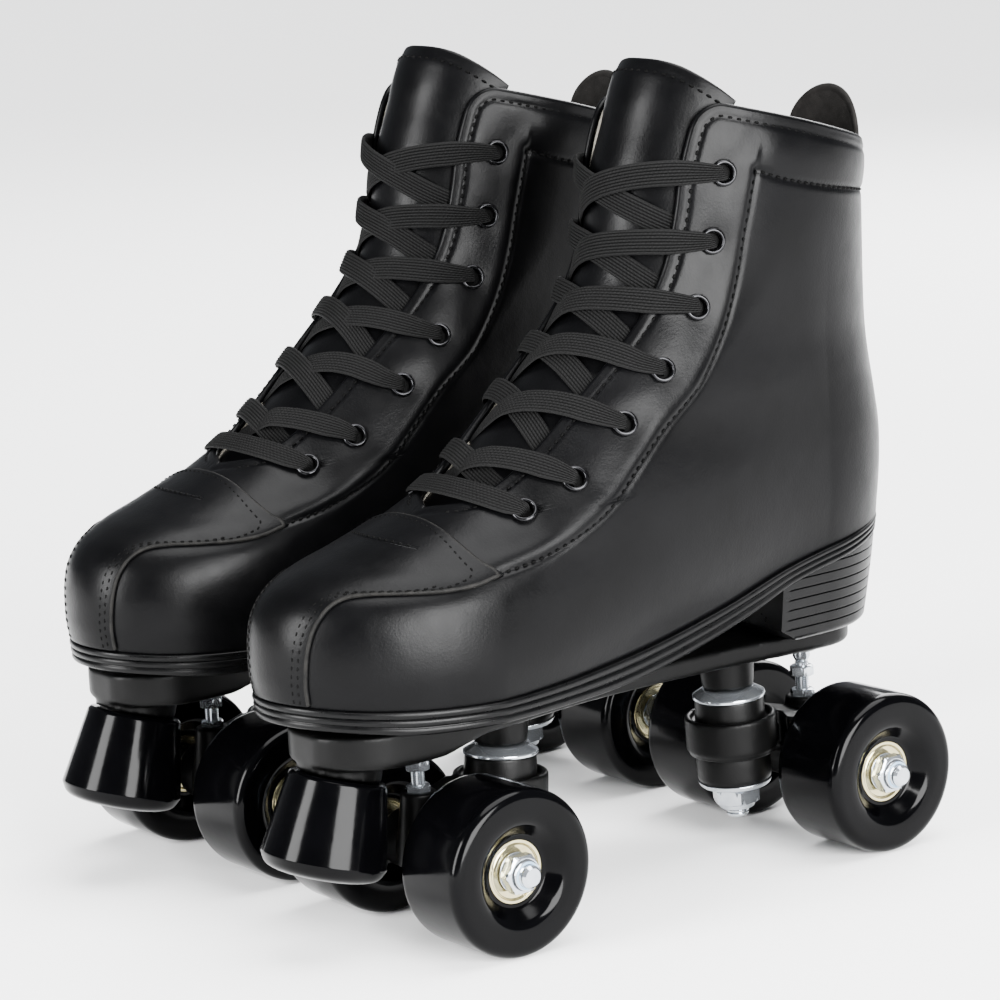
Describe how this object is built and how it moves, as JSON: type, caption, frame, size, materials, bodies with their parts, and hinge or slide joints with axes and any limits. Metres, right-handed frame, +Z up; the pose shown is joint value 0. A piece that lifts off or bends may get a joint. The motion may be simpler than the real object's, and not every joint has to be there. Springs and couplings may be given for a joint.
{
  "type": "quad roller skates",
  "caption": "Black lace-up boots on plates with sprung trucks, wheels on ball bearings, toe stops, padded tongues and stacked heels.",
  "frame": {"origin": "centre of the pair's footprint, on the floor that the wheels stand on", "axes": "+Z up; toes point to -Y; +X towards the left skate, so the pair is mirror-symmetric about X = 0; the wheel axles lie along X"},
  "size_m": [0.2414, 0.2731, 0.287],
  "materials": {
    "leather": "semi-gloss grained",
    "tab_leather": "matt suede",
    "lace": "flat woven",
    "lining": "matt woven",
    "sole_rubber": "satin moulded",
    "plate_plastic": "satin moulded",
    "cushion_rubber": "satin",
    "urethane": "polished",
    "zinc": "bright zinc plated",
    "bearing_steel": "polished"
  },
  "bodies": {
    "left_boot": {"left_upper": "leather", "left_tongue": "leather", "left_lace": "lace", "left_pull_tab": "tab_leather", "left_insole": "lining", "left_outsole": "sole_rubber", "left_plate": "plate_plastic", "left_toe_stop": "urethane", "left_front_kingpin": "zinc", "left_front_top_washer": "zinc", "left_front_upper_cushion": "cushion_rubber", "left_front_lower_cushion": "cushion_rubber", "left_rear_kingpin": "zinc", "left_rear_top_washer": "zinc", "left_rear_upper_cushion": "cushion_rubber", "left_rear_lower_cushion": "cushion_rubber"},
    "left_front_truck": {"left_front_hanger": "plate_plastic", "left_front_pivot_stud": "zinc", "left_front_axle": "zinc"},
    "left_front_outer_wheel_set": {"left_front_outer_wheel": "urethane", "left_front_outer_bearings": "bearing_steel"},
    "left_front_inner_wheel_set": {"left_front_inner_wheel": "urethane", "left_front_inner_bearings": "bearing_steel"},
    "left_rear_truck": {"left_rear_hanger": "plate_plastic", "left_rear_pivot_stud": "zinc", "left_rear_axle": "zinc"},
    "left_rear_outer_wheel_set": {"left_rear_outer_wheel": "urethane", "left_rear_outer_bearings": "bearing_steel"},
    "left_rear_inner_wheel_set": {"left_rear_inner_wheel": "urethane", "left_rear_inner_bearings": "bearing_steel"},
    "right_boot": {"right_upper": "leather", "right_tongue": "leather", "right_lace": "lace", "right_pull_tab": "tab_leather", "right_insole": "lining", "right_outsole": "sole_rubber", "right_plate": "plate_plastic", "right_toe_stop": "urethane", "right_front_kingpin": "zinc", "right_front_top_washer": "zinc", "right_front_upper_cushion": "cushion_rubber", "right_front_lower_cushion": "cushion_rubber", "right_rear_kingpin": "zinc", "right_rear_top_washer": "zinc", "right_rear_upper_cushion": "cushion_rubber", "right_rear_lower_cushion": "cushion_rubber"},
    "right_front_truck": {"right_front_hanger": "plate_plastic", "right_front_pivot_stud": "zinc", "right_front_axle": "zinc"},
    "right_front_outer_wheel_set": {"right_front_outer_wheel": "urethane", "right_front_outer_bearings": "bearing_steel"},
    "right_front_inner_wheel_set": {"right_front_inner_wheel": "urethane", "right_front_inner_bearings": "bearing_steel"},
    "right_rear_truck": {"right_rear_hanger": "plate_plastic", "right_rear_pivot_stud": "zinc", "right_rear_axle": "zinc"},
    "right_rear_outer_wheel_set": {"right_rear_outer_wheel": "urethane", "right_rear_outer_bearings": "bearing_steel"},
    "right_rear_inner_wheel_set": {"right_rear_inner_wheel": "urethane", "right_rear_inner_bearings": "bearing_steel"}
  },
  "joints": [
    {"name": "left_front_truck_steer", "type": "hinge", "parent": "left_boot", "child": "left_front_truck", "pos_m": [0.0637, -0.0394, 0.0415], "axis": [0, -0.8368, 0.5475], "range_deg": [-8, 8], "stiffness_Nm_per_rad": 60, "deforming": ["left_front_upper_cushion", "left_front_lower_cushion"]},
    {"name": "left_front_outer_wheel_spin", "type": "hinge", "parent": "left_front_truck", "child": "left_front_outer_wheel_set", "pos_m": [0.1003, -0.0704, 0.029], "axis": [1, 0, 0], "continuous": true},
    {"name": "left_front_inner_wheel_spin", "type": "hinge", "parent": "left_front_truck", "child": "left_front_inner_wheel_set", "pos_m": [0.0271, -0.0704, 0.029], "axis": [1, 0, 0], "continuous": true},
    {"name": "left_rear_truck_steer", "type": "hinge", "parent": "left_boot", "child": "left_rear_truck", "pos_m": [0.0637, 0.0666, 0.0415], "axis": [0, 0.8368, 0.5475], "range_deg": [-8, 8], "stiffness_Nm_per_rad": 60, "deforming": ["left_rear_upper_cushion", "left_rear_lower_cushion"]},
    {"name": "left_rear_outer_wheel_spin", "type": "hinge", "parent": "left_rear_truck", "child": "left_rear_outer_wheel_set", "pos_m": [0.1003, 0.0976, 0.029], "axis": [1, 0, 0], "continuous": true},
    {"name": "left_rear_inner_wheel_spin", "type": "hinge", "parent": "left_rear_truck", "child": "left_rear_inner_wheel_set", "pos_m": [0.0271, 0.0976, 0.029], "axis": [1, 0, 0], "continuous": true},
    {"name": "right_front_truck_steer", "type": "hinge", "parent": "right_boot", "child": "right_front_truck", "pos_m": [-0.0637, -0.0394, 0.0415], "axis": [0, -0.8368, 0.5475], "range_deg": [-8, 8], "stiffness_Nm_per_rad": 60, "deforming": ["right_front_upper_cushion", "right_front_lower_cushion"]},
    {"name": "right_front_outer_wheel_spin", "type": "hinge", "parent": "right_front_truck", "child": "right_front_outer_wheel_set", "pos_m": [-0.1003, -0.0704, 0.029], "axis": [1, 0, 0], "continuous": true},
    {"name": "right_front_inner_wheel_spin", "type": "hinge", "parent": "right_front_truck", "child": "right_front_inner_wheel_set", "pos_m": [-0.0271, -0.0704, 0.029], "axis": [1, 0, 0], "continuous": true},
    {"name": "right_rear_truck_steer", "type": "hinge", "parent": "right_boot", "child": "right_rear_truck", "pos_m": [-0.0637, 0.0666, 0.0415], "axis": [0, 0.8368, 0.5475], "range_deg": [-8, 8], "stiffness_Nm_per_rad": 60, "deforming": ["right_rear_upper_cushion", "right_rear_lower_cushion"]},
    {"name": "right_rear_outer_wheel_spin", "type": "hinge", "parent": "right_rear_truck", "child": "right_rear_outer_wheel_set", "pos_m": [-0.1003, 0.0976, 0.029], "axis": [1, 0, 0], "continuous": true},
    {"name": "right_rear_inner_wheel_spin", "type": "hinge", "parent": "right_rear_truck", "child": "right_rear_inner_wheel_set", "pos_m": [-0.0271, 0.0976, 0.029], "axis": [1, 0, 0], "continuous": true},
    {"name": "right_skate_lift", "type": "slide", "parent": "left_boot", "child": "right_boot", "axis": [0, 0, 1], "range_m": [0, 0.15]}
  ]
}
